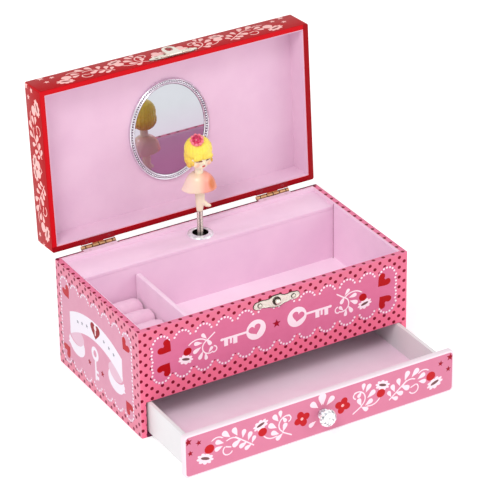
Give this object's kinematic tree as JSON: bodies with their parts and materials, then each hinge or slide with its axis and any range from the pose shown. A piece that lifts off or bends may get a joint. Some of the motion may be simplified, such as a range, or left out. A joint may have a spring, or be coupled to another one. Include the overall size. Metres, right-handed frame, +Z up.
{
  "type": "ballerina jewellery box",
  "caption": "Lidded jewellery box with a mirror in the lid, lined tray with ring rolls, one drawer, and a turning dancer driven by a wind-up musical movement.",
  "frame": {"origin": "centre of the case's bottom face, on the surface the box stands on", "axes": "+X to the right seen from the front, -Y out of the front where the drawer opens, +Z up"},
  "size_m": [0.225, 0.237, 0.2203],
  "materials": {
    "case_paper": "board wrapped in satin printed paper",
    "lid_paper": "board wrapped in glossy printed paper",
    "flock": "short-pile lilac flocking on card",
    "padding": "foam roll covered with lilac flocked fabric",
    "bare_board": "plain fibreboard",
    "white_paper": "board covered in smooth white paper",
    "drawer_paper": "board with glossy printed paper and white edges",
    "hinge_steel": "brass-plated pressed steel",
    "latch_nickel": "nickel-plated pressed steel",
    "chrome": "polished chrome plating",
    "mirror_glass": "silvered flat glass",
    "silver_plastic": "vacuum-metallised beaded plastic",
    "crystal": "clear faceted acrylic",
    "spring_steel": "bright spring steel",
    "skin_plastic": "glossy moulded plastic, cream",
    "dress_plastic": "glossy moulded plastic, salmon pink",
    "hair_plastic": "glossy moulded plastic, yellow",
    "crown_plastic": "glossy moulded plastic, magenta",
    "movement_brass": "plain brass",
    "movement_steel": "plain steel"
  },
  "bodies": {
    "case": {"case_base": "bare_board", "case_left_side": "case_paper", "case_right_side": "case_paper", "case_back": "case_paper", "front_fascia": "case_paper", "tray_deck": "bare_board", "drawer_guides": "bare_board", "tray_lining": "flock", "movement_shelf": "flock", "shelf_front_wall": "flock", "tray_divider": "flock", "ring_rolls": "padding", "hinge_case_leaves": "hinge_steel", "hinge_pins": "hinge_steel", "catch_plate": "latch_nickel", "catch_stud": "latch_nickel", "case_screws": "latch_nickel", "spindle_grommet": "chrome", "movement_bedplate": "movement_steel", "cylinder_frame": "movement_steel", "music_comb": "movement_steel", "comb_base": "movement_steel", "movement_screws": "movement_steel"},
    "lid": {"lid_top": "lid_paper", "lid_front_wall": "lid_paper", "lid_back_wall": "lid_paper", "lid_left_wall": "lid_paper", "lid_right_wall": "lid_paper", "lid_lining": "flock", "mirror_frame": "silver_plastic", "mirror_glass": "mirror_glass", "hinge_lid_leaves": "hinge_steel", "lid_screws": "latch_nickel", "hasp_plate": "latch_nickel", "hasp_pin": "latch_nickel"},
    "hasp": {"hasp_flap": "latch_nickel"},
    "drawer": {"drawer_front": "drawer_paper", "drawer_left_side": "white_paper", "drawer_right_side": "white_paper", "drawer_back": "white_paper", "drawer_bottom": "white_paper", "drawer_lining": "flock", "knob_ferrule": "chrome", "crystal_knob": "crystal", "knob_screw": "chrome"},
    "pole": {"pole_spring": "spring_steel"},
    "doll": {"doll_legs": "skin_plastic", "doll_dress": "dress_plastic", "doll_head": "skin_plastic", "doll_hair": "hair_plastic", "doll_crown": "crown_plastic"},
    "cylinder": {"pinned_cylinder": "movement_brass", "drive_spindle": "spring_steel"},
    "barrel": {"spring_barrel": "movement_brass", "mainspring": "spring_steel"},
    "winder": {"winding_arbor": "movement_steel", "winding_key": "movement_steel"},
    "governor": {"governor_wheel": "movement_steel"},
    "fly": {"governor_fly": "movement_steel"}
  },
  "joints": [
    {"name": "lid_hinge", "type": "hinge", "parent": "case", "child": "lid", "pos_m": [0, 0.0666, 0.0872], "axis": [1, 0, 0], "range_deg": [0, 93.5]},
    {"name": "hasp_swing", "type": "hinge", "parent": "lid", "child": "hasp", "pos_m": [0, 0.07708, 0.21931], "axis": [1, 0, 0], "range_deg": [0, 180]},
    {"name": "drawer_slide", "type": "slide", "parent": "case", "child": "drawer", "axis": [0, -1, 0], "range_m": [-0.057, 0.03]},
    {"name": "pole_fold", "type": "hinge", "parent": "case", "child": "pole", "pos_m": [0, 0.046, 0.0885], "axis": [1, 0, 0], "range_deg": [0, 89]},
    {"name": "doll_spin", "type": "hinge", "parent": "pole", "child": "doll", "pos_m": [0, 0.046, 0.0885], "axis": [0, 0, 1], "continuous": true},
    {"name": "cylinder_spin", "type": "hinge", "parent": "case", "child": "cylinder", "pos_m": [0, 0.046, 0.07], "axis": [0, 0, 1], "continuous": true},
    {"name": "barrel_spin", "type": "hinge", "parent": "case", "child": "barrel", "pos_m": [0, 0.053, 0.05], "axis": [0, 1, 0], "continuous": true},
    {"name": "key_wind", "type": "hinge", "parent": "case", "child": "winder", "pos_m": [0, 0.07, 0.05], "axis": [0, 1, 0], "continuous": true},
    {"name": "governor_spin", "type": "hinge", "parent": "case", "child": "governor", "pos_m": [0.00613, 0.04086, 0.065], "axis": [0, 0, 1], "continuous": true},
    {"name": "fly_spin", "type": "hinge", "parent": "case", "child": "fly", "pos_m": [0.01138, 0.04086, 0.065], "axis": [0, 0, 1], "continuous": true}
  ],
  "couplings": [
    {"joint": "pole_fold", "follows": "lid_hinge", "ratio": 0.95187},
    {"joint": "doll_spin", "follows": "cylinder_spin", "ratio": 1},
    {"joint": "barrel_spin", "follows": "cylinder_spin", "ratio": -0.25},
    {"joint": "governor_spin", "follows": "cylinder_spin", "ratio": -4},
    {"joint": "fly_spin", "follows": "cylinder_spin", "ratio": 16}
  ]
}
